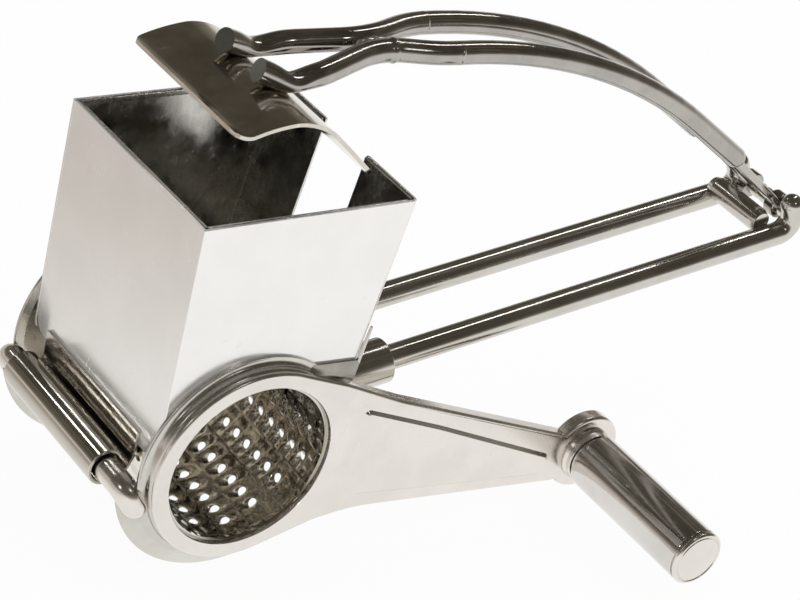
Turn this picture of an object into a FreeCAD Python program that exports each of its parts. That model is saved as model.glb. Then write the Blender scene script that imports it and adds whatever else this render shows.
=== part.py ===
import FreeCAD, Part
import math
import os

from FreeCAD import Placement, Rotation, Vector

# Hand-held rotary drum grater, all stainless steel, in millimetres.
# Origin: on the drum axis, in the outer face of the front hopper wall.
# +X runs to the handle hinge, -Y to the crank and the outlet, +Z up to the hopper rim.

doc = FreeCAD.newDocument("drum_grater")

DRIVING = {
    # hopper
    "sheet": 0.8,
    "hopper_depth": 64.8,
    "rim_height": 70.0,
    "left_reach": 25.3,
    "right_reach": 27.0,
    "wall_lean": 0.143,
    "wall_foot": 2.4,
    "handle_wall_drop": 9.0,
    "slot_width": 19.0,
    "slot_foot": 39.0,
    "wall_corner": 2.5,
    # collars
    "collar_front": 3.9,
    "dish_radius": 28.2,
    "dish_crown": 2.2,
    "rim_radius": 34.7,
    "rim_setback": 2.5,
    "flange_drop": 8.4,
    "wing_height": 24.6,
    # drum and crank
    "drum_radius": 23.4,
    "drum_sheet": 0.6,
    "drum_start": -3.5,
    "back_sheet": 1.0,
    "tooth_pitch": 5.2,
    "tooth_hole": 2.7,
    "drum_end": 58.0,
    "neck_radius": 24.5,
    "neck_front": -5.2,
    "running_fit": 0.05,
    "axle_radius": 3.0,
    "crank_sheet": 1.0,
    "ring_radius": 28.8,
    "flange_back": -1.3,
    "flange_start": 36.3,
    "panel_press": 0.6,
    # grip
    "crank_reach": 115.3,
    "crank_drop": 19.5,
    "crank_end_radius": 11.5,
    "grip_radius": 8.15,
    "grip_end": -56.0,
    "grip_start": -9.3,
    "grip_wall": 0.75,
    # side bar on the left wall
    "bar_reach": 32.0,
    "bar_drop": 4.4,
    "bar_radius": 3.5,
    "bar_front": 1.6,
    "bar_bend": 3.8,
    "sleeve_radius": 5.2,
    "sleeve_bore": 4.2,
    "sleeve_start": 10.9,
    "sleeve_end": 56.5,
    # handle tubes and hinge
    "tube_radius": 3.5,
    "tube_wall": 0.8,
    "tube_spread": 12.47,
    "tube_rise": 0.144,
    "tube_base": -1.97,
    "ferrule_radius": 6.3,
    "ferrule_end": 56.0,
    "hinge_reach": 197.0,
    "hinge_height": 32.0,
    "hinge_bar_radius": 2.5,
    "post_foot": 200.5,
    "post_bend": 5.0,
    "post_top": 35.2,
    "brace_reach": 187.5,
    "brace_height": 29.6,
    "brace_radius": 3.6,
    # press arm
    "arm_radius": 3.1,
    "eye_radius": 3.9,
    "eye_inset": 4.2,
    "eye_width": 4.0,
    "plate_sheet": 1.1,
    "plate_front": 6.0,
    "plate_back": 58.5,
    "plate_corner": 4.0,
}

sizes = doc.addObject("Spreadsheet::Sheet", "sizes")
for row, (alias, value) in enumerate(DRIVING.items(), start=1):
    sizes.set(f"A{row}", alias)
    sizes.set(f"B{row}", str(value))
    sizes.setAlias(f"B{row}", alias)
doc.recompute()


def size(alias):
    """Value of a sheet cell."""
    return float(sizes.get(alias))


MIDDLE = size("hopper_depth") / 2
SHEET = size("sheet")
FIT = size("running_fit")


# ---------------------------------------------------------------- shared shapes


def bend(before, corner, after, radius):
    """Start, middle and end of the arc that rounds a corner."""
    back = (before - corner).normalize()
    ahead = (after - corner).normalize()
    half = back.getAngle(ahead) / 2
    reach = radius / math.tan(half)
    inward = (back + ahead).normalize()
    centre = corner + inward * (radius / math.sin(half))
    return corner + back * reach, centre - inward * radius, corner + ahead * reach


def rounded(corners, closed=True):
    """Lines and tangent arcs through (point, radius) corners."""
    count = len(corners)
    stops = []
    for index, (point, radius) in enumerate(corners):
        if radius and (closed or 0 < index < count - 1):
            before = corners[index - 1][0]
            after = corners[(index + 1) % count][0]
            stops.append(bend(before, point, after, radius))
        else:
            stops.append((point, None, point))
    pieces = []
    last = stops[-1][2] if closed else None
    for start, middle, end in stops:
        if last is not None and last.distanceToPoint(start) > 1e-6:
            pieces.append(Part.LineSegment(last, start))
        if middle is not None:
            pieces.append(Part.Arc(start, middle, end))
        last = end
    return pieces


def flat(points):
    """Sketch corners from (u, v) or (u, v, radius) tuples."""
    return [(Vector(p[0], p[1], 0), p[2] if len(p) > 2 else 0) for p in points]


def body_sketch(body, role, geometry):
    """A sketch on one of the body's own origin planes."""
    plane = [f for f in body.Origin.OriginFeatures if f.Role == role][0]
    sketch = body.newObject("Sketcher::SketchObject", body.Name + "_sketch")
    sketch.AttachmentSupport = [(plane, "")]
    sketch.MapMode = "FlatFace"
    for piece in geometry:
        sketch.addGeometry(piece, False)
    return sketch


def plate(name, geometry, start, end):
    """A flat piece with its outline in the XZ plane, from y = start to y = end."""
    body = doc.addObject("PartDesign::Body", name)
    sketch = body_sketch(body, "XZ_Plane", geometry)
    sketch.setExpression("AttachmentOffset.Base.z", f"-({end})")
    pad = body.newObject("PartDesign::Pad", name + "_pad")
    pad.Profile = sketch
    pad.setExpression("Length", f"({end}) - ({start})")
    return body


def turned(name, profile):
    """A piece turned about the Y axis from its (radius, y) profile."""
    body = doc.addObject("PartDesign::Body", name)
    sketch = body_sketch(body, "XY_Plane", rounded(flat(profile)))
    spin = body.newObject("PartDesign::Revolution", name + "_turn")
    spin.Profile = sketch
    spin.ReferenceAxis = (sketch, ["V_Axis"])
    spin.Angle = 360
    return body


def round_bar(name, radius, start, end, x="0", z="0"):
    """A cylinder along Y."""
    bar = doc.addObject("Part::Cylinder", name)
    bar.Placement = Placement(Vector(), Rotation(Vector(1, 0, 0), -90))
    bar.setExpression("Radius", radius)
    bar.setExpression("Height", f"({end}) - ({start})")
    bar.setExpression(".Placement.Base.x", x)
    bar.setExpression(".Placement.Base.y", start)
    bar.setExpression(".Placement.Base.z", z)
    return bar


def block(name, low, high):
    """A box between two corners given as expressions."""
    box = doc.addObject("Part::Box", name)
    for index, (axis, side) in enumerate(zip("xyz", ("Length", "Width", "Height"))):
        box.setExpression(side, f"({high[index]}) - ({low[index]})")
        box.setExpression(f".Placement.Base.{axis}", str(low[index]))
    return box


def cut(name, base, *tools):
    """The base less each tool."""
    for number, tool in enumerate(tools):
        piece = doc.addObject("Part::Cut", name if number == len(tools) - 1 else f"{name}_cut{number}")
        piece.Base = base
        piece.Tool = tool
        base = piece
    return base


def joined(name, *shapes):
    """One solid from several."""
    piece = doc.addObject("Part::MultiFuse", name)
    piece.Shapes = list(shapes)
    return piece


def swept(name, corners, radius):
    """A round rod along a path of straight runs and tangent arcs."""
    path = doc.addObject("Part::Feature", name + "_path")
    path.Shape = Part.Wire([piece.toShape() for piece in rounded(corners, closed=False)])
    first, second = corners[0][0], corners[1][0]
    circle = doc.addObject("Part::Circle", name + "_section")
    circle.setExpression("Radius", radius)
    circle.Placement = Placement(first, Rotation(Vector(0, 0, 1), second - first))
    rod = doc.addObject("Part::Sweep", name)
    rod.Sections = [circle]
    rod.Spine = (path, [])
    rod.Solid = True
    rod.Frenet = False
    return rod


def ball(name, radius, centre):
    """A sphere for a domed tube end."""
    sphere = doc.addObject("Part::Sphere", name)
    sphere.setExpression("Radius", radius)
    sphere.Placement = Placement(centre, Rotation())
    return sphere


# ---------------------------------------------------------------- hopper


def right_wall(height, inset=0.0):
    """X of the leaning right wall at a height."""
    return size("right_reach") + size("wall_lean") * height - inset


def hopper_outline(bottom, inset=0.0, left=None):
    """Trapezoid of the hopper in the XZ plane, down to a height."""
    top = size("rim_height") + inset
    left_x = -size("left_reach") if left is None else left
    corner = 0 if inset else size("wall_corner")
    return rounded(flat([
        (left_x, top), (right_wall(top, inset), top), (right_wall(bottom, inset), bottom), (left_x, bottom, corner),
    ]))


def hopper_shell():
    """Front, rear and handle-side wall, folded from one sheet."""
    drop = -size("handle_wall_drop")
    beyond = -2 * size("left_reach")
    outer = plate("hopper_outer", hopper_outline(drop), "0", "sizes.hopper_depth")
    inner = plate("hopper_inner", hopper_outline(drop - SHEET, SHEET, beyond),
                  "sizes.sheet", "sizes.hopper_depth - sizes.sheet")
    below = plate("hopper_below", rounded(flat([
        (beyond, size("wall_foot")), (right_wall(size("wall_foot"), SHEET), size("wall_foot")),
        (right_wall(drop - SHEET, SHEET), drop - SHEET), (beyond, drop - SHEET),
    ])), "-sizes.sheet", "sizes.hopper_depth + sizes.sheet")
    slot = block("hopper_slot",
                 ("sizes.right_reach - sizes.sheet", "sizes.hopper_depth / 2 - sizes.slot_width / 2",
                  "sizes.slot_foot"),
                 ("2 * sizes.right_reach", "sizes.hopper_depth / 2 + sizes.slot_width / 2",
                  "2 * sizes.rim_height"))
    front_hole = round_bar("front_hole", "sizes.neck_radius - 3 * sizes.running_fit", "-sizes.sheet", "2 * sizes.sheet")
    rear_hole = round_bar("rear_hole", "2.5 * sizes.axle_radius", "sizes.hopper_depth - 2 * sizes.sheet",
                          "sizes.hopper_depth + sizes.sheet")
    return cut("hopper_shell", outer, inner, below, slot, front_hole, rear_hole)


def hopper_side_wall():
    """The left wall, a sheet of its own between the front and rear wall."""
    return block("hopper_side_wall",
                 ("-sizes.left_reach", "sizes.sheet", "sizes.wall_foot"),
                 ("sizes.sheet - sizes.left_reach", "sizes.hopper_depth - sizes.sheet", "sizes.rim_height"))


# ---------------------------------------------------------------- collars


def collar(name, front, bore, lip):
    """A dished collar: flat face, skirt on the wall, open cone below the hopper."""
    side = 1 if front else -1
    base = 0 if front else size("hopper_depth")

    def place(points):
        return [(radius, base + side * depth) for radius, depth in points]

    face = -size("collar_front")
    dish, crown = size("dish_radius"), size("dish_crown")
    profile = [
        (bore, face), (dish - crown, face), (dish, face + crown), (dish, 0), (dish - SHEET, 0),
        (dish - SHEET, face + crown + SHEET / 2), (dish - crown - SHEET / 2, face + SHEET),
        (bore + SHEET, face + SHEET), (bore + SHEET, lip), (bore, lip),
    ]
    pan = turned(name + "_pan", place(profile))
    rim, setback = size("rim_radius"), size("rim_setback")
    cone = turned(name + "_cone", place([
        (dish - SHEET, 0), (dish, -SHEET), (rim, setback), (rim - SHEET, setback),
    ]))
    above = block(name + "_above", ("-2 * sizes.rim_radius", "-sizes.rim_radius", "-sizes.flange_drop"),
                  ("2 * sizes.rim_radius", "3 * sizes.rim_radius", "2 * sizes.rim_radius"))
    lower_cone = cut(name + "_lower_cone", cone, above)
    wing_top = size("wing_height")
    shoulder, peak = dish * 0.95, dish * 1.2
    wing = plate(name + "_wing", rounded(flat([
        (0, shoulder), (dish / 4, shoulder), (dish * 0.62, wing_top, 8), (right_wall(wing_top) - 1.3, wing_top - SHEET, 5),
        (right_wall(peak) - SHEET / 2, peak), (right_wall(peak), peak), (right_wall(0), 0), (0, 0),
    ])), "-sizes.sheet" if front else "sizes.hopper_depth",
        "0" if front else "sizes.hopper_depth + sizes.sheet")
    inside = round_bar(name + "_inside", "sizes.dish_radius - sizes.sheet / 2", "-sizes.rim_radius", "3 * sizes.rim_radius")
    return joined(name + "_whole", pan, lower_cone, cut(name + "_wing_cut", wing, inside))


def side_bar():
    """The rod along the left wall, with an elbow down onto each collar."""
    x, z = -size("bar_reach"), -size("bar_drop")
    front, back = size("bar_front"), size("hopper_depth") - size("bar_front")
    radius = size("bar_bend")
    down = Vector(0.7 * radius, -0.4 * radius, -1.15 * radius)
    up = Vector(down.x, -down.y, down.z)
    first, last = Vector(x, front, z), Vector(x, back, z)
    return swept("side_bar", [(first + down, 0), (first, radius), (last, radius), (last + up, 0)], "sizes.bar_radius")


def side_sleeve():
    """The rolled sleeve round the side bar."""
    axis = ("-sizes.bar_reach", "-sizes.bar_drop")
    outer = round_bar("sleeve_outer", "sizes.sleeve_radius", "sizes.sleeve_start", "sizes.sleeve_end", *axis)
    bore = round_bar("sleeve_bore_tool", "sizes.sleeve_bore", "sizes.sleeve_start - 1", "sizes.sleeve_end + 1", *axis)
    return cut("side_sleeve", outer, bore)


def side_strap():
    """The bent strap that joins the sleeve to the left wall."""
    wall = -size("left_reach")
    low, foot = size("bar_drop"), size("wall_foot")
    outline = rounded(flat([
        (wall, foot + 4), (wall - SHEET, foot + 4), (wall - SHEET, foot - 1, 0.6), (wall - low, foot - 1.6),
        (wall - low, -low / 2), (wall, -low / 2),
    ]))
    blank = plate("strap_blank", outline, "sizes.sleeve_start - 2", "sizes.sleeve_end")
    hollow = round_bar("strap_hollow", "sizes.sleeve_radius", "sizes.sleeve_start - 3", "sizes.sleeve_end + 1",
                       "-sizes.bar_reach", "-sizes.bar_drop")
    return cut("side_strap", blank, hollow)


# ---------------------------------------------------------------- handle and hinge


def tube_axis(x, y):
    """Point on a handle tube's axis."""
    return Vector(x, y, size("tube_base") + size("tube_rise") * x)


def along_tube(name, radius, y, start, end):
    """A cylinder on a handle tube's axis between two X."""
    first, last = tube_axis(start, y), tube_axis(end, y)
    bar = doc.addObject("Part::Cylinder", name)
    bar.setExpression("Radius", radius)
    bar.Height = first.distanceToPoint(last)
    bar.Placement = Placement(first, Rotation(Vector(0, 0, 1), last - first))
    return bar


def handle_side(side, y, hopper_block):
    """One handle tube with its ferrule on the hopper wall and its post at the hinge."""
    start = size("right_reach") * 0.75
    hinge_x = size("hinge_reach")
    top = Vector(hinge_x - size("tube_wall"), y, size("post_top"))
    solid = swept(f"tube_{side}_solid", [
        (tube_axis(start, y), 0), (tube_axis(size("post_foot"), y), size("post_bend")), (top, 0),
    ], "sizes.tube_radius")
    dome = ball(f"tube_{side}_dome", "sizes.tube_radius", top)
    hollow = along_tube(f"tube_{side}_hollow", "sizes.tube_radius - sizes.tube_wall", y, start - 1,
                        hinge_x - 3 * size("post_bend"))
    outside = joined(f"tube_{side}_outside", solid, dome)
    tube = cut(f"handle_tube_{side}", outside, hollow, hopper_block)
    skin = along_tube(f"ferrule_{side}_skin", "sizes.ferrule_radius", y, start, size("ferrule_end"))
    bore = along_tube(f"ferrule_{side}_bore", "sizes.tube_radius", y, start - 1, size("ferrule_end") + 1)
    ferrule = cut(f"ferrule_{side}", skin, bore, hopper_block)
    return outside, tube, ferrule


def cross_brace(tubes):
    """The round bolster welded on between the tubes in front of the hinge."""
    blank = round_bar("brace_blank", "sizes.brace_radius",
                      "sizes.hopper_depth / 2 - sizes.tube_spread + 2 * sizes.tube_wall",
                      "sizes.hopper_depth / 2 + sizes.tube_spread - 2 * sizes.tube_wall",
                      "sizes.brace_reach", "sizes.brace_height")
    return cut("cross_brace", blank, *tubes)


def hinge_bar(tubes):
    """The bar that the press arm swings on."""
    blank = round_bar("hinge_bar_blank", "sizes.hinge_bar_radius",
                      "sizes.hopper_depth / 2 - sizes.tube_spread",
                      "sizes.hopper_depth / 2 + sizes.tube_spread",
                      "sizes.hinge_reach", "sizes.hinge_height")
    return cut("hinge_bar", blank, *tubes)


# ---------------------------------------------------------------- press arm

# Centre line of one arm tube: x, distance from the middle plane, z, bend radius.
ARM_PATH = [
    (-4.0, 7.4, 98.2, 0), (7.0, 9.3, 93.7, 10), (17.5, 8.3, 94.6, 10), (37.6, 3.3, 96.5, 8),
    (54.0, 8.0, 96.2, 12), (108.3, 8.7, 94.6, 175), (170.0, 8.8, 52.7, 0),
]


def press_plate():
    """The bowed plate that presses the food onto the drum."""
    stations = [
        ((-16.3, 90.6), (-14.2, 90.2), (-11.5, 90.6)),
        ((-11.5, 90.6), (-7.0, 91.7), (-0.5, 92.6)),
        ((-0.5, 92.6), (6.77, 91.23), (13.0, 87.3)),
    ]
    foot = (27.0, 74.5)
    down = Vector(0, size("plate_sheet"), 0)
    geometry = []
    for lower in (Vector(), down):
        for arc in stations:
            geometry.append(Part.Arc(*[Vector(u, v, 0) - lower for u, v in arc]))
        geometry.append(Part.LineSegment(Vector(*stations[-1][-1], 0) - lower, Vector(*foot, 0) - lower))
    for tip in (stations[0][0], foot):
        geometry.append(Part.LineSegment(Vector(*tip, 0), Vector(*tip, 0) - down))
    blank = plate("plate_blank", geometry, "sizes.plate_front", "sizes.plate_back")
    corner = size("plate_corner")
    left, right = stations[0][0][0], foot[0]
    front, back = size("plate_front"), size("plate_back")
    trim = doc.addObject("PartDesign::Body", "plate_trim")
    sketch = body_sketch(trim, "XY_Plane", rounded(flat([
        (left, front, corner), (right, front, corner), (right, back, corner), (left, back, corner),
    ])))
    pad = trim.newObject("PartDesign::Pad", "plate_trim_pad")
    pad.Profile = sketch
    pad.setExpression("Length", "2 * sizes.rim_height")
    shaped = doc.addObject("Part::Common", "press_plate")
    shaped.Base = blank
    shaped.Tool = trim
    return shaped


def arm_side(side, sign, pressing):
    """One arm tube and the eye strap that holds it on the hinge bar."""
    corners = [(Vector(x, MIDDLE + sign * off, z), radius) for x, off, z, radius in ARM_PATH]
    rod = swept(f"arm_{side}_rod", corners, "sizes.arm_radius")
    dome = ball(f"arm_{side}_dome", "sizes.arm_radius", corners[-1][0])
    whole = joined(f"arm_{side}_whole", rod, dome)
    tube = cut(f"arm_tube_{side}", whole, pressing)
    near = size("tube_spread") - size("eye_inset")
    inner, outer = sorted((sign * near, sign * (near - size("eye_width"))))
    start, end = f"{MIDDLE + inner}", f"{MIDDLE + outer}"
    centre = ("sizes.hinge_reach", "sizes.hinge_height")
    eye = round_bar(f"eye_{side}_ring", "sizes.eye_radius", start, end, *centre)
    bore = round_bar(f"eye_{side}_bore", "sizes.hinge_bar_radius + sizes.running_fit", f"{start} - 1", f"{end} + 1",
                     *centre)
    hinge = Vector(size("hinge_reach"), 0, size("hinge_height"))
    tip = corners[-1][0] + (corners[-2][0] - corners[-1][0]).normalize() * 2 * size("arm_radius")
    reach = Vector(tip.x - hinge.x, 0, tip.z - hinge.z)
    half = size("arm_radius") * 0.4
    strip = doc.addObject("Part::Box", f"eye_{side}_strip")
    strip.Length = reach.Length
    strip.Width = outer - inner
    strip.Height = 2 * half
    turn = Rotation(Vector(1, 0, 0), reach)
    strip.Placement = Placement(Vector(hinge.x, MIDDLE + inner, hinge.z) + turn.multVec(Vector(0, 0, -half)), turn)
    strap = cut(f"hinge_strap_{side}", joined(f"eye_{side}_whole", eye, strip), bore, whole)
    return tube, strap, whole


def arm_tie(rods):
    """Weld fillet where the two arm tubes meet."""
    x, _, z, _ = ARM_PATH[3]
    blank = doc.addObject("Part::Box", "tie_blank")
    radius = size("arm_radius")
    blank.Length, blank.Width, blank.Height = 2 * radius, 2 * radius, 0.8 * radius
    blank.Placement = Placement(Vector(x - radius, MIDDLE - radius, z + 0.2 * radius), Rotation())
    return cut("arm_tie", blank, *rods)


# ---------------------------------------------------------------- drum and crank

# Crank arm edges between the ring and the round end: x, z, bend radius.
ARM_TOP = [(12.0, 26.2, 0), (25.0, 20.3, 20), (44.0, 11.6, 60), (106.5, -12.1, 0)]
ARM_BOTTOM = [(107.2, -27.6, 0), (36.0, -20.9, 60), (24.0, -22.3, 20), (8.0, -27.7, 0)]
PANEL = [
    (31.5, 12.2, 2), (58.8, 1.5, 0), (101.8, -17.0, 2.5), (101.5, -24.0, 2.5), (64.8, -20.0, 0), (31.5, -16.2, 2),
    (33.5, -3.0, 30),
]


# First hole of each row of teeth along the drum, one row after the other round it.
ROW_STARTS = [4.4, 3.3, 4.9, 5.7, 3.1, 3.2, 2.2, 4.4, 3.0, 5.2, 2.6, 4.8, 3.0, 5.4, 3.2, 5.6]
FIRST_ROW = -106.5
ROW_LENGTH = 10


def tooth_row(number, first):
    """Cutter for one row of tooth holes, each square to keep its faces few."""
    half = size("tooth_hole") / 2
    below = 0.9 * size("drum_radius")
    outline = doc.addObject("Sketcher::SketchObject", f"tooth_row_{number}_outline")
    for step in range(ROW_LENGTH):
        y = first + step * size("tooth_pitch")
        for edge in rounded(flat([(-half, y - half), (half, y - half), (half, y + half), (-half, y + half)])):
            outline.addGeometry(edge, False)
    turn = Rotation(Vector(0, 1, 0), 90 - FIRST_ROW - number * 360 / len(ROW_STARTS))
    outline.Placement = Placement(turn.multVec(Vector(0, 0, below)), turn)
    row = doc.addObject("Part::Extrusion", f"tooth_row_{number}")
    row.Base = outline
    row.DirMode = "Normal"
    row.Solid = True
    row.setExpression("LengthFwd", "0.2 * sizes.drum_radius")
    return row


def drum_pieces():
    """Drum shell with its tooth holes, its neck ring, its closed back and the axle."""
    outer = size("drum_radius")
    inner = outer - size("drum_sheet")
    start, end = size("drum_start"), size("drum_end")
    neck, front = size("neck_radius"), size("neck_front")
    axle = size("axle_radius")
    collar_face = size("hopper_depth") + size("collar_front")
    blank = turned("drum_blank", [(inner, start), (outer, start), (outer, end), (inner, end)])
    rows = doc.addObject("Part::Compound", "tooth_rows")
    rows.Links = [tooth_row(number, first) for number, first in enumerate(ROW_STARTS)]
    shell = cut("drum_shell", blank, rows)
    ring = turned("drum_neck", [(outer, front), (neck, front), (neck, -0.3), (outer, -0.3)])
    behind = end + size("back_sheet")
    shoulder = behind + 1.5
    back = turned("drum_back", [(axle, end), (outer, end), (outer, behind), (axle, behind)])
    rod = turned("drum_axle", [
        (0, end), (axle, end), (axle, behind), (2 * axle, behind), (2 * axle, shoulder), (axle, shoulder),
        (axle, collar_face + 1.5), (axle - 0.6, collar_face + 2.1), (0, collar_face + 2.1),
    ])
    return shell, ring, back, rod


def rear_bush():
    """Flanged bearing bush in the rear collar."""
    face = size("hopper_depth") + size("collar_front")
    bore = size("axle_radius") + FIT
    skin = bore + 2.45
    return turned("rear_bush", [
        (bore, face - 1.8), (skin + 1.5, face - 1.8), (skin + 1.5, face - SHEET), (skin, face - SHEET),
        (skin, face + 0.7), (bore, face + 0.7),
    ])


def crank_outline():
    """Ring, arm and round end of the crank."""
    ring, end = size("ring_radius"), size("crank_end_radius")
    top = [Vector(u, v, 0) for u, v, _ in ARM_TOP]
    bottom = [Vector(u, v, 0) for u, v, _ in ARM_BOTTOM]
    far = Vector(size("crank_reach") + end, -size("crank_drop"), 0)
    return [
        *rounded(flat(ARM_TOP), closed=False), Part.Arc(top[-1], far, bottom[0]),
        *rounded(flat(ARM_BOTTOM), closed=False), Part.Arc(bottom[-1], Vector(-ring, 0, 0), top[0]),
    ]


def drawn_in(name, body, inset, depth, beyond):
    """The body's outline drawn in by an inset, as a solid from its sketch plane to a depth."""
    outline = doc.addObject("Part::Offset2D", name + "_outline")
    outline.Source = body.Group[0]
    outline.Join = 2
    outline.setExpression("Value", f"-({inset})")
    solid = doc.addObject("Part::Extrusion", name)
    solid.Base = outline
    solid.DirMode = "Custom"
    solid.Dir = Vector(0, -1, 0)
    solid.Solid = True
    solid.setExpression("LengthFwd", depth)
    solid.setExpression("LengthRev", beyond)
    return solid


def crank_plate():
    """Stamped crank: ring, arm with turned-back edges, raised panel and round end."""
    blank = plate("crank_blank", crank_outline(), "sizes.neck_front", "sizes.flange_back")
    pocket = drawn_in("crank_pocket", blank, "sizes.crank_sheet",
                      "sizes.flange_back - sizes.neck_front - sizes.crank_sheet", "sizes.crank_sheet")
    round_clear = round_bar("crank_clear", "sizes.flange_start", "sizes.neck_front + sizes.crank_sheet",
                            "sizes.flange_back + 1")
    hole = round_bar("crank_hole", "sizes.neck_radius", "sizes.neck_front - 1", "0")
    shell = cut("crank_shell", blank, pocket, round_clear, hole)
    panel = rounded(flat(PANEL))
    bump = plate("crank_bump", panel, "sizes.neck_front - sizes.panel_press",
                 "sizes.neck_front + sizes.crank_sheet - sizes.panel_press")
    hollow = plate("crank_hollow", panel, "sizes.neck_front + sizes.crank_sheet - sizes.panel_press",
                   "sizes.neck_front + 2 * sizes.crank_sheet")
    pin_hole = round_bar("crank_pin_hole", "sizes.axle_radius", "sizes.neck_front - 1", "0",
                         "sizes.crank_reach", "-sizes.crank_drop")
    return cut("crank_plate", joined("crank_whole", shell, bump), hollow, pin_hole)


def moved(body):
    """Set a turned piece onto the grip's axis."""
    body.setExpression(".Placement.Base.x", "sizes.crank_reach")
    body.setExpression(".Placement.Base.z", "-sizes.crank_drop")
    return body


def grip_pieces():
    """Boss and pin on the crank, and the turning grip."""
    pin, skin = size("axle_radius"), size("grip_radius")
    front, start, end = size("neck_front"), size("grip_start"), size("grip_end")
    back = front + size("crank_sheet")
    wall = size("grip_wall")
    head = end + 4.5
    boss = turned("grip_boss", [(pin, start + 0.3), (skin - 0.8, start + 0.3), (skin - 0.8, front), (pin, front)])
    rivet = turned("grip_pin", [
        (0, head), (1.8 * pin, head), (1.8 * pin, head + 1.5), (pin, head + 1.5), (pin, back), (1.7 * pin, back),
        (1.4 * pin, back + 1.8), (0, back + 1.8),
    ])
    core = turned("grip_core", [
        (pin + FIT, head + 1.8), (skin - wall, head + 1.8), (skin - wall, start), (pin + FIT, start),
    ])
    sleeve = turned("grip_sleeve", [(skin - wall, end + 1), (skin, end + 1), (skin, start), (skin - wall, start)])
    cap = turned("grip_cap", [
        (0, end), (skin - 1, end), (skin, end + 1), (skin - wall, end + 1), (skin - wall, end + 2.5), (0, end + 2.5),
    ])
    return [moved(body) for body in (boss, rivet, core, sleeve, cap)]


# ---------------------------------------------------------------- assembly

hopper_block = plate("hopper_block", hopper_outline(-2 * size("handle_wall_drop")), "0", "sizes.hopper_depth")
frame_bar = side_bar()
front_collar = cut("front_collar", collar("front_collar", True, size("neck_radius") + FIT, -0.4), frame_bar)
rear_collar = cut("rear_collar", collar("rear_collar", False, size("axle_radius") + FIT + 2.45,
                                        SHEET - size("collar_front")), frame_bar)
handle = [handle_side(side, MIDDLE + sign * size("tube_spread"), hopper_block)
          for side, sign in (("front", -1), ("rear", 1))]
tubes = [outside for outside, _, _ in handle]
pressing = press_plate()
arms = [arm_side(side, sign, pressing) for side, sign in (("front", -1), ("rear", 1))]

nodes = [hopper_shell(), hopper_side_wall(), front_collar, rear_collar, rear_bush(), frame_bar, side_sleeve(),
         side_strap(), cross_brace(tubes), hinge_bar(tubes), pressing, arm_tie([whole for _, _, whole in arms]),
         crank_plate(), *drum_pieces(), *grip_pieces()]
for _, tube, ferrule in handle:
    nodes += [tube, ferrule]
for tube, strap, _ in arms:
    nodes += [tube, strap]

doc.recompute()

for thing in doc.Objects:
    if "Invalid" in thing.State or "Error" in thing.State:
        raise RuntimeError(f"{thing.Name} did not build: {thing.State}")

os.makedirs("parts", exist_ok=True)
for node in nodes:
    node.Label = node.Name
    if node.Shape.isNull() or not node.Shape.isValid():
        raise RuntimeError(f"{node.Name} has no valid shape")
    node.Shape.exportStep(f"parts/{node.Label}.step")
    print(f"{node.Label:22s} {node.Shape.Volume:10.1f} solids {len(node.Shape.Solids)}")
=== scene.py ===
import math

import bmesh
import bpy
from mathutils import Matrix, Quaternion, Vector


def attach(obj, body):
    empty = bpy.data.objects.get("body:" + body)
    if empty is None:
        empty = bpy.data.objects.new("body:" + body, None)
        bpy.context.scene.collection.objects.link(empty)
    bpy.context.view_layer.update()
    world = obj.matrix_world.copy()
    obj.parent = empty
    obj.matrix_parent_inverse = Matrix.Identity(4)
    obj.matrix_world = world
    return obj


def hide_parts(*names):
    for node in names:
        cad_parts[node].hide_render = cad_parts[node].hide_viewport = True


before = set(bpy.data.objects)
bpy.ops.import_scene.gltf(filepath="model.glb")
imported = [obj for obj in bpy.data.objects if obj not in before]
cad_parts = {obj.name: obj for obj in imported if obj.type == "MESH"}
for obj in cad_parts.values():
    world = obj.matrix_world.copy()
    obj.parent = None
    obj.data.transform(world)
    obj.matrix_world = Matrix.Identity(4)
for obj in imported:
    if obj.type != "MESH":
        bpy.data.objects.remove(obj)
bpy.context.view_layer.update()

MM = 0.001

# Sizes of the grater in millimetres, the same as in the frame.
SHEET = 0.8
DEPTH = 64.8
MIDDLE = DEPTH / 2
RIM = 70.0
LEFT = -25.3
WALL_FOOT = 2.4
HANDLE_WALL_FOOT = -9.0
HANDLE_WALL_BASE = 27.0
HANDLE_WALL_LEAN = 0.143
SLOT = (22.9, 41.9)
SLOT_FOOT = 39.0
DRUM_HOLE = 24.3
BUSH_HOLE = 7.5
DISH = 28.2
DISH_FACE = -3.9
FLANGE = 34.7
FLANGE_BACK = 2.5
FLANGE_TOP = -8.4
DRUM = 23.4
DRUM_SHEET = 0.6
DRUM_ENDS = (-3.5, 58.0)
NECK = 24.5
CRANK_FACE = -5.2
CRANK_BACK = -1.3
GRIP = (115.3, -19.5)
GRIP_RADIUS = 8.15
BAR = (-32.0, -4.4)
TUBE = 3.5
TUBE_BASE = -1.97
TUBE_CLIMB = 0.144
SPREAD = 12.47
BRACE = (187.5, 29.6)
HINGE = (197.0, 32.0)
ARM = 3.1
FLOOR = -FLANGE


def wall_x(height):
    """X of the leaning handle-side wall at a height."""
    return HANDLE_WALL_BASE + HANDLE_WALL_LEAN * height


def tube_axis(x, y):
    """Point on a handle tube's axis."""
    return Vector((x, y, TUBE_BASE + TUBE_CLIMB * x))


# ---------------------------------------------------------------- camera


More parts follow.
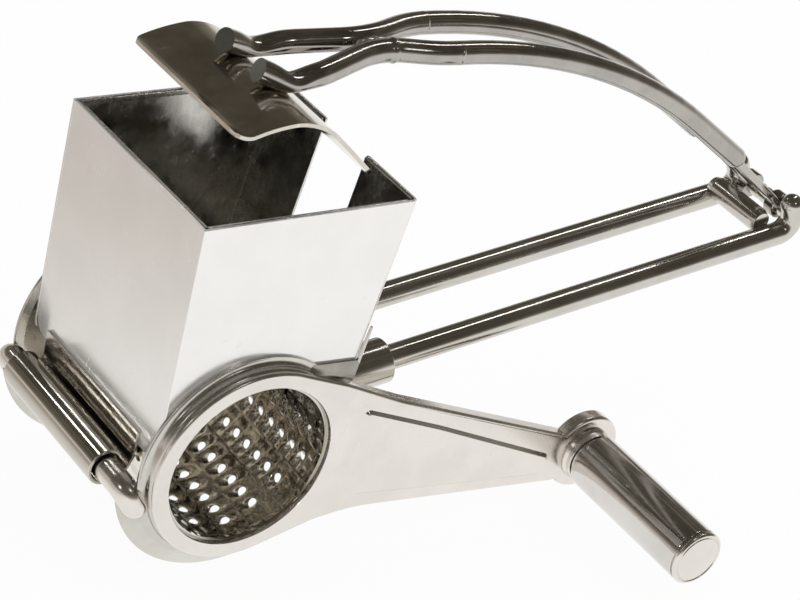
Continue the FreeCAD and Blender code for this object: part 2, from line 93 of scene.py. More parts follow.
def camera():
    """The studio camera, rolled a little about its view axis."""
    frame_width, frame_height = 800, 600
    axis_pixel = (423.3, 303.8)
    focal_pixels = 2675.9
    place = Vector((-350.3, -436.6, 378.6)) * MM
    forward = Vector((0.58292, 0.64058, -0.49985)).normalized()
    up = Vector((0.13800, 0.52820, 0.83783))
    up = (up - forward * up.dot(forward)).normalized()
    right = forward.cross(up)
    data = bpy.data.cameras.new("studio_camera")
    data.sensor_width = 36.0
    data.lens = focal_pixels * data.sensor_width / frame_width
    data.shift_x = (frame_width / 2 - axis_pixel[0]) / frame_width
    data.shift_y = (axis_pixel[1] - frame_height / 2) / frame_width
    data.clip_start = 0.01
    data.clip_end = 20
    turn = Matrix((right, up, -forward)).transposed().to_4x4()
    stand = bpy.data.objects.new("studio_camera", data)
    stand.matrix_world = Matrix.Translation(place) @ turn
    bpy.context.scene.collection.objects.link(stand)
    bpy.context.scene.camera = stand
    bpy.context.scene.view_settings.view_transform = "Standard"


# ---------------------------------------------------------------- shader helpers


class Value:
    """A socket that takes Python arithmetic."""

    def __init__(self, shader, socket):
        self.shader = shader
        self.socket = socket

    def _math(self, operation, first, second):
        return self.shader.node("ShaderNodeMath", {"operation": operation}, {0: first, 1: second})

    def __add__(self, other):
        return self._math("ADD", self, other)

    __radd__ = __add__

    def __sub__(self, other):
        return self._math("SUBTRACT", self, other)

    def __rsub__(self, other):
        return self._math("SUBTRACT", other, self)

    def __mul__(self, other):
        return self._math("MULTIPLY", self, other)

    __rmul__ = __mul__

    def clamped(self):
        return self.shader.node("ShaderNodeClamp", {}, {0: self})

    def between(self, low, high):
        """0 below low, 1 above high and a smooth step between."""
        return self.shader.node("ShaderNodeMapRange", {"interpolation_type": "SMOOTHSTEP"},
                                {"Value": self, "From Min": low, "From Max": high})


class Shader:
    """Node tree of a material or a world."""

    def __init__(self, tree):
        self.tree = tree
        tree.nodes.clear()

    def node(self, kind, settings, sockets, output=0):
        """A node with its settings and then its sockets; returns one output as a Value."""
        made = self.tree.nodes.new(kind)
        stops = settings.pop("stops", None)
        for name, value in settings.items():
            setattr(made, name, value)
        if stops:
            ramp = made.color_ramp
            while len(ramp.elements) < len(stops):
                ramp.elements.new(0.5)
            for element, (place, tone) in zip(ramp.elements, stops):
                element.position = place
                element.color = (*tone, 1)
        for name, value in sockets.items():
            if isinstance(value, Value):
                self.tree.links.new(value.socket, made.inputs[name])
            else:
                made.inputs[name].default_value = value
        return Value(self, made.outputs[output]) if made.outputs else None

    def mixed(self, factor, first, second):
        """Two colours mixed by a factor."""
        sockets = {"Factor": factor}
        for name, tone in (("A", first), ("B", second)):
            sockets[name] = (*tone, 1) if isinstance(tone, tuple) else tone
        return self.node("ShaderNodeMix", {"data_type": "RGBA"}, sockets, 2)


# ---------------------------------------------------------------- finishes


def steel(name, tone, roughness, grain_scale, wear=0.05, grain_lift=0.1, dull=0.9, pits=0.0, smudge_scale=60,
          worn_edges=True, metallic=1.0):
    """Stainless sheet: drawn grain, fingermarks, fine scratches, rubbed edges and small pits."""
    made = bpy.data.materials.new(name)
    made.use_nodes = True
    shader = Shader(made.node_tree)
    place = shader.node("ShaderNodeTexCoord", {}, {}, "Object")
    drawn = shader.node("ShaderNodeMapping", {}, {"Vector": place, "Scale": grain_scale})
    grain = shader.node("ShaderNodeTexNoise", {}, {"Vector": drawn, "Scale": 1000, "Detail": 3})
    smudge = shader.node("ShaderNodeTexNoise", {}, {"Vector": place, "Scale": smudge_scale, "Detail": 4,
                                                    "Roughness": 0.6})
    turned_place = shader.node("ShaderNodeMapping", {}, {"Vector": place, "Rotation": (0.5, 0.9, 0.4),
                                                         "Scale": (1, 14, 1)})
    lines = shader.node("ShaderNodeTexNoise", {}, {"Vector": turned_place, "Scale": 260, "Detail": 1})
    scratched = lines.between(0.66, 0.72)
    blots = smudge.between(0.35, 0.65)
    rough = roughness + (blots - 0.5) * wear + (grain - 0.5) * wear + scratched * 0.08
    dulled = tuple(channel * dull for channel in tone)
    colour = shader.mixed(blots, dulled, tone)
    if worn_edges:
        rubbed = shader.node("ShaderNodeNewGeometry", {}, {}, "Pointiness").between(0.51, 0.60)
        rough = rough - rubbed * 0.04
        colour = shader.mixed(rubbed, colour, tuple(min(1.0, channel * 1.08) for channel in tone))
    height = grain * 0.6 + scratched * -0.5
    if pits:
        pocks = shader.node("ShaderNodeTexNoise", {}, {"Vector": place, "Scale": 1400, "Detail": 2})
        height = height + pocks * pits
    bump = shader.node("ShaderNodeBump", {}, {"Height": height, "Strength": grain_lift, "Distance": 0.00006})
    surface = shader.node("ShaderNodeBsdfPrincipled", {}, {
        "Base Color": colour, "Metallic": metallic, "Roughness": rough.clamped(), "Normal": bump,
    })
    shader.node("ShaderNodeOutputMaterial", {}, {"Surface": surface})
    return made


def liner():
    """Dark plastic tube inside the grip, a little mottled and scuffed."""
    made = bpy.data.materials.new("grip_liner")
    made.use_nodes = True
    shader = Shader(made.node_tree)
    place = shader.node("ShaderNodeTexCoord", {}, {}, "Object")
    mottle = shader.node("ShaderNodeTexNoise", {}, {"Vector": place, "Scale": 400, "Detail": 4})
    colour = shader.mixed(mottle, (0.04, 0.04, 0.042), (0.075, 0.075, 0.08))
    bump = shader.node("ShaderNodeBump", {}, {"Height": mottle, "Strength": 0.2, "Distance": 0.0001})
    surface = shader.node("ShaderNodeBsdfPrincipled", {},
                          {"Base Color": colour, "Roughness": 0.45 + mottle * 0.2, "Normal": bump})
    shader.node("ShaderNodeOutputMaterial", {}, {"Surface": surface})
    return made


# ---------------------------------------------------------------- shaping helpers


def softened(corners, closed=True, step=12):
    """Points through (point, radius) corners, each radius run as an arc."""
    points = []
    count = len(corners)
    for index, (point, radius) in enumerate(corners):
        if not radius or (not closed and index in (0, count - 1)):
            points.append(point.copy())
            continue
        back = (corners[index - 1][0] - point).normalized()
        ahead = (corners[(index + 1) % count][0] - point).normalized()
        half = back.angle(ahead) / 2
        centre = point + (back + ahead).normalized() * (radius / math.sin(half))
        start = point + back * (radius / math.tan(half)) - centre
        end = point + ahead * (radius / math.tan(half)) - centre
        turn = math.pi - 2 * half
        steps = max(2, round(math.degrees(turn) / step))
        axis = start.cross(end).normalized()
        points += [centre + Quaternion(axis, turn * number / steps) @ start for number in range(steps + 1)]
    return points


def arc(centre, radius, start, end, step=4):
    """Flat points of an arc between two angles in degrees."""
    steps = max(2, round(abs(end - start) / step))
    angles = [math.radians(start + (end - start) * number / steps) for number in range(steps + 1)]
    return [(centre[0] + radius * math.cos(a), centre[1] + radius * math.sin(a)) for a in angles]


def through(first, middle, last, steps):
    """Flat points of the arc through three points."""
    (ax, ay), (bx, by), (cx, cy) = first, middle, last
    double = 2 * (ax * (by - cy) + bx * (cy - ay) + cx * (ay - by))
    squares = ax * ax + ay * ay, bx * bx + by * by, cx * cx + cy * cy
    x = (squares[0] * (by - cy) + squares[1] * (cy - ay) + squares[2] * (ay - by)) / double
    y = (squares[0] * (cx - bx) + squares[1] * (ax - cx) + squares[2] * (bx - ax)) / double
    start, end = math.atan2(ay - y, ax - x), math.atan2(cy - y, cx - x)
    if end - start > math.pi:
        end -= 2 * math.pi
    if start - end > math.pi:
        end += 2 * math.pi
    radius = math.hypot(ax - x, ay - y)
    angles = [start + (end - start) * number / steps for number in range(steps + 1)]
    return [(x + radius * math.cos(a), y + radius * math.sin(a)) for a in angles]


def flat(points, closed=True, step=12):
    """Flat (u, v) or (u, v, radius) corners as softened (u, v) pairs."""
    corners = [(Vector((p[0], p[1], 0)), p[2] if len(p) > 2 else 0) for p in points]
    return [(p.x, p.y) for p in softened(corners, closed, step)]


def face_of(shape, points):
    """One flat face through 3-D points."""
    return shape.faces.new([shape.verts.new(p) for p in points])


def ring_of(shape, points):
    """A closed loop of edges through 3-D points."""
    verts = [shape.verts.new(p) for p in points]
    return [shape.edges.new((verts[n - 1], verts[n])) for n in range(len(verts))]


def whole(shape):
    """All the elements of a shape."""
    return shape.verts[:] + shape.edges[:] + shape.faces[:]


def new_verts(made):
    """The points that an operator has just made."""
    return [item for item in made["geom"] if isinstance(item, bmesh.types.BMVert)]


def new_edges(made):
    """The edges that an operator has just made."""
    return [item for item in made["geom"] if isinstance(item, bmesh.types.BMEdge)]


def lengths(line):
    """Distance along a flat line at each of its points."""
    runs = [0.0]
    for before, after in zip(line, line[1:]):
        runs.append(runs[-1] + math.dist(before, after))
    return runs


def point_along(line, runs, distance):
    """Flat point of a line at a distance from its start."""
    index = next((n for n in range(1, len(runs)) if runs[n] >= distance - 1e-6), len(runs) - 1)
    share = (distance - runs[index - 1]) / (runs[index] - runs[index - 1])
    return [a + share * (b - a) for a, b in zip(line[index - 1], line[index])]


def join(shape, other):
    """Put another shape's mesh into this one."""
    data = bpy.data.meshes.new("joined")
    other.to_mesh(data)
    other.free()
    shape.from_mesh(data)
    bpy.data.meshes.remove(data)


def cut_at_wall(shape, clear=0.0):
    """Cut a shape flat against the leaning handle-side wall and close it."""
    bmesh.ops.bisect_plane(shape, geom=whole(shape), plane_co=(wall_x(0) - clear, 0, 0),
                           plane_no=Vector((1, 0, -HANDLE_WALL_LEAN)).normalized(), clear_inner=True)
    bmesh.ops.holes_fill(shape, edges=[e for e in shape.edges if e.is_boundary], sides=0)


def facing(shape, direction):
    """Point the faces of an open sheet so that its largest face looks along the direction."""
    bmesh.ops.remove_doubles(shape, verts=shape.verts[:], dist=1e-4)
    bmesh.ops.recalc_face_normals(shape, faces=shape.faces[:])
    shape.normal_update()
    largest = max(shape.faces, key=lambda f: f.calc_area())
    if largest.normal.dot(Vector(direction)) < 0:
        bmesh.ops.reverse_faces(shape, faces=shape.faces[:])


def add_turned(shape, profile, centre=(0, 0), steps=96):
    """Spin a closed (radius, y) profile about an axis along Y."""
    verts = [shape.verts.new((centre[0] + radius, y, centre[1])) for radius, y in profile]
    edges = [shape.edges.new((verts[n - 1], verts[n])) for n in range(len(verts))]
    bmesh.ops.spin(shape, geom=verts + edges, cent=(centre[0], 0, centre[1]), axis=(0, 1, 0),
                   angle=2 * math.pi, steps=steps, use_merge=True)
    return shape


def add_plate(shape, outline, near, far):
    """A flat plate with its (x, z) outline, from y = near to y = far."""
    face = face_of(shape, [(u, near, v) for u, v in outline])
    made = bmesh.ops.extrude_face_region(shape, geom=[face])
    bmesh.ops.translate(shape, verts=new_verts(made), vec=(0, far - near, 0))
    return shape


def add_box(shape, low, high):
    """A plain block, for trim strips."""
    made = bmesh.ops.create_cube(shape, size=1)
    size = [b - a for a, b in zip(low, high)]
    bmesh.ops.scale(shape, vec=size, verts=made["verts"])
    bmesh.ops.translate(shape, vec=[(a + b) / 2 for a, b in zip(low, high)], verts=made["verts"])
    return made["verts"]


def pipe(corners, radius, domes=(False, False), swell=None, spacing=2.5):
    """A tube along straight runs and bends; swell(point) scales its radius."""
    bend_step, roundness = 2, 14
    line = softened(corners, closed=False, step=bend_step)
    points = [line[0]]
    for after in line[1:]:
        before = points[-1]
        runs = max(1, math.ceil((after - before).length / spacing))
        points += [before.lerp(after, number / runs) for number in range(1, runs + 1)]
    widths = [swell(p) if swell else 1.0 for p in points]
    dome = [math.radians(a) for a in (12, 25, 38, 50, 62, 72, 81)]
    if domes[1]:
        away = (points[-1] - points[-2]).normalized()
        tip, width = points[-1], widths[-1]
        points += [tip + away * radius * width * math.sin(a) for a in dome]
        widths += [width * math.cos(a) for a in dome]
    if domes[0]:
        away = (points[0] - points[1]).normalized()
        tip, width = points[0], widths[0]
        points = [tip + away * radius * width * math.sin(a) for a in reversed(dome)] + points
        widths = [width * math.cos(a) for a in reversed(dome)] + widths
    data = bpy.data.curves.new("run", "CURVE")
    data.dimensions = "3D"
    data.bevel_depth = radius
    data.bevel_resolution = roundness
    data.use_fill_caps = True
    spline = data.splines.new("POLY")
    spline.points.add(len(points) - 1)
    for spot, point, width in zip(spline.points, points, widths):
        spot.co = (*point, 1)
        spot.radius = width
    run = bpy.data.objects.new("run", data)
    mesh = bpy.data.meshes.new_from_object(run)
    shape = bmesh.new()
    shape.from_mesh(mesh)
    bmesh.ops.remove_doubles(shape, verts=shape.verts[:], dist=1e-4)
    bmesh.ops.recalc_face_normals(shape, faces=shape.faces[:])
    bpy.data.objects.remove(run)
    bpy.data.curves.remove(data)
    bpy.data.meshes.remove(mesh)
    return shape


# Angle in degrees from which an edge is softened.
BEVEL_FROM = 50


def piece(name, shape, body, material, nodes=(), wall=0, bevel=0, segments=3, sharp=32,
          painted_shade_skin=None):
    """Finish a shape in millimetres as a piece of the grater."""
    bmesh.ops.remove_doubles(shape, verts=shape.verts[:], dist=1e-4)
    if not wall:
        bmesh.ops.recalc_face_normals(shape, faces=shape.faces[:])
    bmesh.ops.scale(shape, vec=(MM, MM, MM), verts=shape.verts[:])
    data = bpy.data.meshes.new(name)
    shape.to_mesh(data)
    shape.free()
    data.materials.append(material)
    # The second steel is a darker one for inner faces and cut tube ends: painted shade.
    if painted_shade_skin:
        data.materials.append(painted_shade_skin)
    made = bpy.data.objects.new(name, data)
    bpy.context.scene.collection.objects.link(made)
    if wall:
        solid = made.modifiers.new("wall", "SOLIDIFY")
        solid.thickness = abs(wall) * MM
        solid.offset = -1 if wall > 0 else 1
        solid.use_even_offset = True
        solid.material_offset = 1 if painted_shade_skin else 0
    if bevel:
        edge = made.modifiers.new("edges", "BEVEL")
        edge.width = bevel * MM
        edge.segments = segments
        edge.limit_method = "ANGLE"
        edge.angle_limit = math.radians(BEVEL_FROM)
        edge.use_clamp_overlap = True
        edge.miter_outer = "MITER_ARC"
    if wall or bevel:
        ready = made.evaluated_get(bpy.context.evaluated_depsgraph_get())
        finished = bpy.data.meshes.new_from_object(ready)
        made.modifiers.clear()
        made.data = finished
        bpy.data.meshes.remove(data)
        finished.name = name
    made.data.shade_smooth()
    made.data.set_sharp_from_angle(angle=math.radians(sharp))
    even = made.modifiers.new("even", "WEIGHTED_NORMAL")
    even.keep_sharp = True
    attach(made, body)
    if nodes:
        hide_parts(*nodes)
    return made


# ---------------------------------------------------------------- hopper


def hopper(skin, painted_shade_skin):
    """Folded front, handle-side and rear walls with soft folds and the arm slot."""
    corner = (0.5, 2.6)
    fold, mouth_round, foot_round = 1.5, 0.6, 1.2
    shape = bmesh.new()
    for y, hole in ((0.0, DRUM_HOLE), (DEPTH, BUSH_HOLE)):
        edge = math.degrees(math.asin(WALL_FOOT / hole))
        outline = [(LEFT, RIM), (LEFT, WALL_FOOT + corner[1]), (LEFT + corner[0], WALL_FOOT)]
        outline += arc((0, 0), hole, 180 - edge, edge)
        outline += [(wall_x(WALL_FOOT), WALL_FOOT), (wall_x(RIM), RIM)]
        face_of(shape, [(u, y, v) for u, v in outline])
    side = [
        (0, RIM), (0, WALL_FOOT), (0, HANDLE_WALL_FOOT),
        (DEPTH, HANDLE_WALL_FOOT), (DEPTH, WALL_FOOT), (DEPTH, RIM),
        (SLOT[1], RIM, mouth_round), (SLOT[1], SLOT_FOOT, foot_round),
        (SLOT[0], SLOT_FOOT, foot_round), (SLOT[0], RIM, mouth_round),
    ]
    face_of(shape, [(wall_x(v), u, v) for u, v in flat(side, step=20)])
    facing(shape, (0, 1, 0))
    folds = [e for e in shape.edges if len(e.link_faces) == 2]
    bmesh.ops.bevel(shape, geom=folds, offset=fold, segments=6, profile=0.5, affect="EDGES", material=-1)
    # Inner faces take the darker second steel: painted shade inside the hopper.
    return piece("hopper_walls", shape, "frame", skin, nodes=["hopper_shell"], wall=SHEET, bevel=0.2,
                 painted_shade_skin=painted_shade_skin)


def hopper_side(skin, painted_shade_skin):
    """The left wall, a sheet of its own with a rounded lower rear corner."""
    near, far = SHEET - 0.15, DEPTH - SHEET - 0.1
    shape = bmesh.new()
    outline = flat([(near, WALL_FOOT, 1.2), (near, RIM), (far, RIM, 0.5), (far, WALL_FOOT, 5)])
    face_of(shape, [(LEFT, u, v) for u, v in outline])
    facing(shape, (-1, 0, 0))
    # Inner faces take the darker second steel: painted shade inside the hopper.
    return piece("hopper_left_wall", shape, "frame", skin, nodes=["hopper_side_wall"], wall=SHEET,
                 bevel=0.12, painted_shade_skin=painted_shade_skin)


def rim_hem(skin):
    """The sheet's edge folded in along the top of the hopper, a hair clear of the wall."""
    shape = bmesh.new()
    gap, fold, low, high = SHEET + 0.12, SHEET + 0.72, RIM - 1.5, RIM - 0.08
    short_of_wall, short_of_slot, off_wall = 2.8, 0.6, 0.05
    for near, far in ((gap, fold), (DEPTH - fold, DEPTH - gap)):
        add_box(shape, (LEFT + fold, near, low), (wall_x(RIM) - short_of_wall, far, high))
    add_box(shape, (LEFT + gap, fold, low), (LEFT + fold, DEPTH - fold, high))
    for near, far in ((fold, SLOT[0] - short_of_slot), (SLOT[1] + short_of_slot, DEPTH - fold)):
        verts = add_box(shape, (0, near, low), (fold - gap, far, high))
        for vert in verts:
            vert.co.x += wall_x(vert.co.z) - fold - off_wall
    return piece("hopper_rim_hem", shape, "frame", skin, bevel=0.16, segments=2)


# ---------------------------------------------------------------- collars


def collar(name, front, bore, lip, skin, web_painted_shade_finish):
    """Dished collar with a rounded crown, an open lower flange, a tab on the wall and a hollow web."""
    side = 1 if front else -1
    base = 0 if front else DEPTH
    crown, inner = DISH + 2.0, DISH - SHEET

    def place(points):
        return [(radius, base + side * depth) for radius, depth in flat(points, step=15)]

    shape = bmesh.new()
    add_turned(shape, place([
        (bore, lip), (bore, DISH_FACE, 0.35), (DISH, DISH_FACE, 1.5), (DISH, -SHEET, 1.5), (crown, -SHEET, 0.2),
        (crown, 0, 0.2), (inner, 0), (inner, DISH_FACE + SHEET, 1.0), (bore + SHEET, DISH_FACE + SHEET),
        (bore + SHEET, lip),
    ]), steps=144)
    skirt = bmesh.new()
    add_turned(skirt, place([
        (inner, -0.6), (DISH + 0.15, -0.6), (DISH + 0.15, 0.7, 0.2), (DISH + 0.8, 0.7, 0.2),
        (DISH + 1.5, -SHEET + 0.1, 0.5), (FLANGE, FLANGE_BACK - 0.4, 0.3), (FLANGE - 0.1, FLANGE_BACK, 0.3),
        (FLANGE - 0.8, FLANGE_BACK, 0.2), (DISH + 1.6, 1.4, 0.5), (inner, 1.4),
    ]), steps=144)
    bmesh.ops.remove_doubles(skirt, verts=skirt.verts[:], dist=1e-4)
    cut = bmesh.ops.bisect_plane(skirt, geom=whole(skirt), plane_co=(0, 0, FLANGE_TOP), plane_no=(0, 0, 1),
                                 clear_outer=True)
    rims = [item for item in cut["geom_cut"] if isinstance(item, bmesh.types.BMEdge)]
    bmesh.ops.holes_fill(skirt, edges=rims, sides=0)
    join(shape, skirt)
    tab_foot, tab_top, off_wall = 23.0, 33.84, 0.02
    tab = [(wall_x(tab_foot) - 1.0, tab_foot), (wall_x(tab_top) - 0.4, tab_top), (wall_x(tab_top), tab_top),
           (wall_x(tab_foot), tab_foot)]
    add_plate(shape, tab, *((-SHEET, -off_wall) if front else (DEPTH + off_wall, DEPTH + SHEET)))
    piece(name + "_dish", shape, "frame", skin, nodes=[name], bevel=0.14, segments=2)
    # The web takes a darker steel than the dish: painted shade in its hollow.
    return collar_web(name + "_web", base, side, web_painted_shade_finish)


def collar_web(name, base, side, skin):
    """Sheet that sweeps in a hollow from the dish's side down onto the wall and out to its leaning edge."""
    web_sheet, hollow, sweep = 0.7, 1.7, 2.4
    web = bmesh.new()
    grid = bmesh.ops.create_grid(web, x_segments=60, y_segments=10, size=1)
    edge = flat([(7.8, 27.2), (17.5, 24.9, 9), (wall_x(24.2), 24.2, 1.5), (wall_x(4.5), 4.5)],
                closed=False, step=4)
    runs = lengths(edge)
    for vert in grid["verts"]:
        along, out = (vert.co.x + 1) / 2 * runs[-1], (vert.co.y + 1) / 2
        point = Vector(point_along(edge, runs, along))
        start = point.normalized() * (DISH - 0.3)
        spot = start.lerp(point, out)
        vert.co = Vector((spot.x, base + side * (-SHEET - hollow * (1 - out) ** sweep), spot.y))
    facing(web, (0, -side, 0))
    # Darker steel than the dish: painted shade in the hollow between dish and wall.
    return piece(name, web, "frame", skin, wall=web_sheet, bevel=0.1, segments=2)


def bush(skin):
    """Flanged bearing bush in the rear collar."""
    face = DEPTH - DISH_FACE
    shape = add_turned(bmesh.new(), flat([
        (3.05, face - 1.8), (7.0, face - 1.8), (7.0, face - SHEET), (5.5, face - SHEET), (5.5, face + 0.7, 0.3),
        (3.05, face + 0.7, 0.3),
    ]), steps=64)
    return piece("rear_bush_turned", shape, "frame", skin, nodes=["rear_bush"])


# ---------------------------------------------------------------- side bar


def side_rod(skin):
    """The bent rod whose ends are pressed onto the collars."""
    front, back, bent, radius = 1.6, DEPTH - 1.6, 3.8, 3.5
    down = Vector((0.7, -0.4, -1.15)) * bent
    first, last = Vector((BAR[0], front, BAR[1])), Vector((BAR[0], back, BAR[1]))
    tail = last + Vector((down.x, -down.y, down.z))
    shape = pipe([(first + down, 0), (first, bent), (last, bent), (tail, 0)], radius, domes=(True, True))
    return piece("side_bar_rod", shape, "frame", skin, nodes=["side_bar"])


def rolled_sleeve(skin):
    """Sheet rolled round the rod, open along the side that faces the left wall."""
    near, length, radius, open_from, open_to = 10.9, 45.6, 5.2, 322, 42
    shape = bmesh.new()
    line = arc(BAR, radius, open_to, open_from, step=3)
    verts = [shape.verts.new((u, near, v)) for u, v in line]
    edges = [shape.edges.new(pair) for pair in zip(verts, verts[1:])]
    made = bmesh.ops.extrude_edge_only(shape, edges=edges)
    bmesh.ops.translate(shape, verts=new_verts(made), vec=(0, length, 0))
    shape.normal_update()
    sample = max(shape.faces, key=lambda f: f.calc_center_median().z)
    if sample.normal.z < 0:
        bmesh.ops.reverse_faces(shape, faces=shape.faces[:])
    return piece("side_sleeve_roll", shape, "frame", skin, nodes=["side_sleeve"], wall=1.0, bevel=0.2)


def sleeve_leaf(skin):
    """The sleeve's leaf, bent up and welded along the left wall."""
    near, far = 8.9, 56.5
    line = flat([(LEFT - 0.9, 6.3), (LEFT - 0.9, -0.6, 2.2), (-29.2, -8.1)], closed=False)
    back = flat([(-28.6, -8.6), (LEFT - 0.05, -0.9, 1.4), (LEFT - 0.05, 6.3)], closed=False)
    shape = add_plate(bmesh.new(), line + back, near, far)
    return piece("side_strap_leaf", shape, "frame", skin, nodes=["side_strap"], bevel=0.2)


# ---------------------------------------------------------------- handle


def handle_tube(side, y, skin):
    """One bent handle tube with a rounded end."""
    start, bend, bend_radius = 21.5, 200.5, 5
    top = Vector((HINGE[0] - 0.8, y, 35.2))
    shape = pipe([(tube_axis(start, y), 0), (tube_axis(bend, y), bend_radius), (top, 0)], TUBE,
                 domes=(False, True), spacing=6)
    cut_at_wall(shape)
    return piece(f"handle_{side}_tube", shape, "frame", skin, nodes=[f"handle_tube_{side}"])


def ferrule(side, y, skin):
    """Socket welded on the wall round a handle tube."""
    start, end = tube_axis(18, y), tube_axis(56, y)
    length = (end - start).length
    shape = add_turned(bmesh.new(), flat([
        (0, 0), (6.3, 0), (6.3, length, 0.5), (4.6, length, 0.4), (4.0, length - 0.8), (0, length - 0.8),
    ]), steps=72)
    turn = Vector((0, 1, 0)).rotation_difference(end - start).to_matrix().to_4x4()
    bmesh.ops.transform(shape, matrix=Matrix.Translation(start) @ turn, verts=shape.verts[:])
    bmesh.ops.remove_doubles(shape, verts=shape.verts[:], dist=1e-4)
    cut_at_wall(shape, clear=0.1)
    return piece(f"ferrule_{side}_socket", shape, "frame", skin, nodes=[f"ferrule_{side}"])


def hinge_parts(skin):
    """Round bolster between the tubes and the bar that the arm turns on."""
    low, high = MIDDLE - SPREAD, MIDDLE + SPREAD
    shape = add_turned(bmesh.new(), flat([
        (0, low + 1.6), (2.9, low + 1.6), (3.6, low + 3.6, 1), (3.6, high - 3.6, 1), (2.9, high - 1.6),
        (0, high - 1.6),
    ]), BRACE, 64)
    piece("cross_brace_bolster", shape, "frame", skin, nodes=["cross_brace"])
    shape = add_turned(bmesh.new(), flat([
        (0, low + 1), (2.5, low + 1), (2.5, MIDDLE - 1, 0.4), (2.35, MIDDLE - 0.6), (2.35, MIDDLE + 0.6),
        (2.5, MIDDLE + 1, 0.4), (2.5, high - 1), (0, high - 1),
    ]), HINGE, 48)
    piece("hinge_bar_pin", shape, "frame", skin, nodes=["hinge_bar"])


# ---------------------------------------------------------------- press arm

ARM_PATH = [
    (-1.4, 7.8, 97.1, 0), (7.0, 9.3, 93.7, 10), (17.5, 8.4, 94.5, 24), (37.6, 2.6, 96.6, 24),
    (54.0, 8.2, 96.4, 36), (108.3, 8.7, 94.6, 175), (170.0, 8.8, 52.7, 0),
]


def near_to(value, centre, reach):
    """1 at the centre, falling smoothly to 0 a reach away."""
    return math.exp(-((value - centre) / reach) ** 2)


def neck_height(x):
    """Height of an arm tube's middle line before and behind its bend over the plate."""
    return 98.2 - (x + 4) * 0.409 if x < 7 else 93.7 + (x - 7) * 0.086


def arm_tube(side, sign, skin, cut):
    """One arm tube: cut tip, pinched neck on the plate, rounded end and a weld bead on the front one."""
    corners = [(Vector((x, MIDDLE + sign * off, z)), radius) for x, off, z, radius in ARM_PATH]
    bead_place, bead_rise, bead_reach = 41.0, 0.10, 0.7
    neck, neck_reach, neck_end = 9.5, 4.2, 30
    flatten, sink, spread = 0.24, 0.3, 0.10
    across = MIDDLE + sign * 8.8

    def swell(point):
        return 1 + (bead_rise * near_to(point.x, bead_place, bead_reach) if sign < 0 else 0)

    shape = pipe(corners, ARM, domes=(False, True), swell=swell, spacing=0.8)
    for vert in shape.verts:
        if vert.co.x > neck_end:
            continue
        height = neck_height(vert.co.x)
        squeeze = near_to(vert.co.x, neck, neck_reach)
        above = vert.co.z - height
        vert.co.z = height + above * (1 - flatten * squeeze) - sink * squeeze
        vert.co.y = across + (vert.co.y - across) * (1 + spread * squeeze)
    # The flat end cap at the cut tip takes the near-black second steel: painted shade standing for the hollow
    # of the cut tube.
    for face in shape.faces:
        if face.calc_center_median().x < 0 and face.normal.x < -0.8:
            face.material_index = 1
    return piece(f"arm_{side}_tube", shape, "press_arm", skin, nodes=[f"arm_tube_{side}"], sharp=40,
                 painted_shade_skin=cut)


def arm_weld(skin):
    """Weld run where the two arm tubes meet."""
    middle, half = Vector((37.6, MIDDLE, 96.9)), (5.2, 1.5, 1.6)
    ripple_rise, ripple_rate = 0.10, 14
    shape = bmesh.new()
    made = bmesh.ops.create_icosphere(shape, subdivisions=4, radius=1)
    for vert in made["verts"]:
        x, y, z = vert.co
        ripple = 1 + ripple_rise * math.sin(x * ripple_rate)
        vert.co = middle + Vector((x * half[0], y * half[1] * ripple, z * half[2] * ripple))
    return piece("arm_tie_weld", shape, "press_arm", skin, nodes=["arm_tie"])


def bowed_plate(skin):
    """The press plate: bowed sheet with rounded corners, a soft edge and two spot dimples."""
    crest = through((-16.3, 90.6), (-14.2, 90.2), (-11.5, 90.6), 8)
    crest += through((-11.5, 90.6), (-7.0, 91.7), (-0.5, 92.6), 14)[1:]
    crest += through((-0.5, 92.6), (6.77, 91.23), (13.0, 87.3), 20)[1:]
    crest += [(13.0 + 14.0 * n / 18, 87.3 - 12.8 * n / 18) for n in range(1, 19)]
    runs = lengths(crest)
    near, far, length, corner = 6.0, 58.5, runs[-1], 4.5
    cut_spacing, cuts = 0.75, 69
    spots, spot_depth, spot_reach = ((4.5, 51.0), (4.5, 13.5)), 0.22, 0.9
    buckle = 0.12
    shape = bmesh.new()
    outline = flat([(0, near, corner), (length, near, corner), (length, far, corner), (0, far, corner)], step=8)
    face_of(shape, [(u, v, 0) for u, v in outline])
    for place in runs[1:-1]:
        bmesh.ops.bisect_plane(shape, geom=whole(shape), plane_co=(place, 0, 0), plane_no=(1, 0, 0))
    for number in range(1, cuts + 1):
        bmesh.ops.bisect_plane(shape, geom=whole(shape), plane_co=(0, near + cut_spacing * number, 0),
                               plane_no=(0, 1, 0))
    for vert in shape.verts:
        along, across = vert.co.x, vert.co.y
        x, z = point_along(crest, runs, along)
        for u, v in spots:
            z -= spot_depth * near_to(math.hypot(along - u, across - v), 0, spot_reach)
        z += buckle * math.sin(across * 0.16) * math.sin(along * 0.2)
        vert.co = Vector((x, across, z))
    facing(shape, (0, 0, 1))
    return piece("press_plate_bowed", shape, "press_arm", skin, nodes=["press_plate"], wall=1.05, bevel=0.3,
                 sharp=50)


